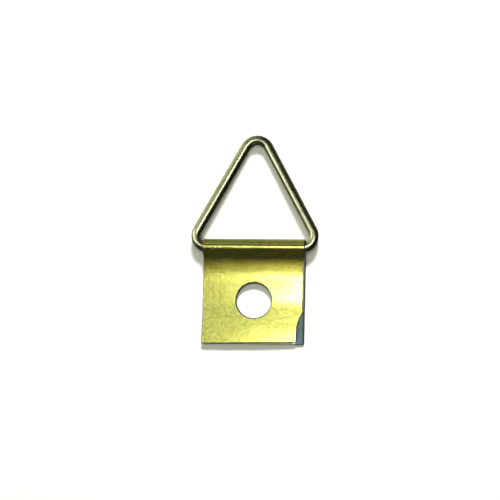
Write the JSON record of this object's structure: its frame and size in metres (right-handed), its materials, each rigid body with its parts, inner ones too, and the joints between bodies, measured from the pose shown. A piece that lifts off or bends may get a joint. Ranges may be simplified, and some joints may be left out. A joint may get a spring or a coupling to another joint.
{
  "type": "triangle picture hanger",
  "caption": "Small picture hanger: a wire triangle ring swings in the rolled barrel of a folded sheet strap, which is fixed to a frame by a screw through its hole.",
  "frame": {"origin": "centre of the hanger's footprint on its back plane, with the ring lying at rest", "axes": "+Z out of the front leaf, +Y from the strap towards the ring's apex, +X to the right as seen from the front"},
  "size_m": [0.0164, 0.0268, 0.0021],
  "materials": {
    "strap_plating": "yellow plated sheet steel, satin, slightly mottled",
    "ring_plating": "yellow plated steel wire, bright drawn"
  },
  "bodies": {
    "strap": {"strap": "strap_plating"},
    "ring": {"ring": "ring_plating"}
  },
  "joints": [
    {"name": "ring_swing", "type": "hinge", "parent": "strap", "child": "ring", "pos_m": [0, -0.00111, 0.00105], "axis": [1, 0, 0], "range_deg": [-148, 176]}
  ]
}
